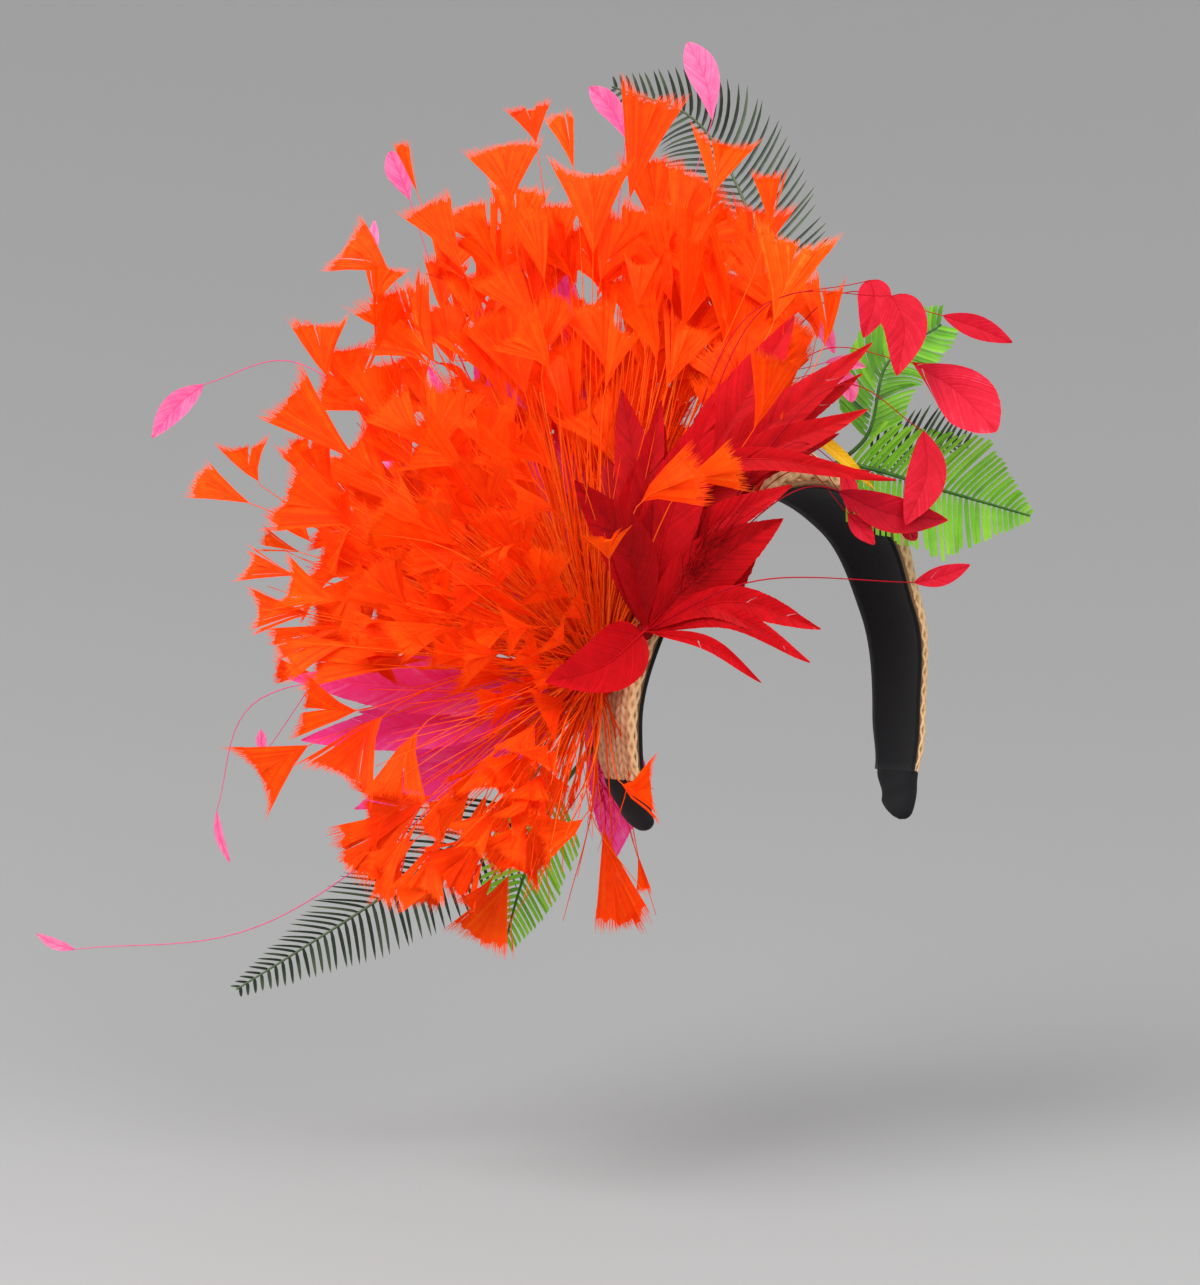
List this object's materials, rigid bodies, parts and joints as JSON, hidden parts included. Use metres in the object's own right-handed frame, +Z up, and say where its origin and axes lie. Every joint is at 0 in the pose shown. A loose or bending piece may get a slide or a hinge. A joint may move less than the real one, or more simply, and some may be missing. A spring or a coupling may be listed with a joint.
{
  "type": "feather fascinator headband",
  "caption": "Straw-braid headband with a spray of fan-tipped quills, broad and paddle-tipped feathers, and palm and fern fronds, worn over the crown of the head.",
  "frame": {"origin": "under the middle of the band, where it sits on the crown of the head", "axes": "+Z up, the wearer faces -Y, and the wearer's left, where the feathers are bound, is +X"},
  "size_m": [0.3753, 0.3531, 0.4601],
  "materials": {
    "straw": "matt plaited straw braid",
    "black_velvet": "matt black velvet",
    "orange_feather": "dyed trimmed feather",
    "red_feather": "dyed feather",
    "pink_feather": "dyed feather",
    "green_palm": "satin dyed frond",
    "dark_fern": "satin dyed frond",
    "yellow_feather": "glossy dyed biot"
  },
  "bodies": {
    "root": {"straw_band": "straw", "band_lining": "black_velvet", "end_sleeve_left": "black_velvet", "end_sleeve_right": "black_velvet", "orange_spray": "orange_feather", "red_plume": "red_feather", "pink_plume": "pink_feather", "palm_right": "green_palm", "palm_up": "green_palm", "palm_low": "green_palm", "fern_top": "dark_fern", "fern_low": "dark_fern", "fern_right": "dark_fern", "yellow_biot": "yellow_feather"}
  },
  "joints": []
}
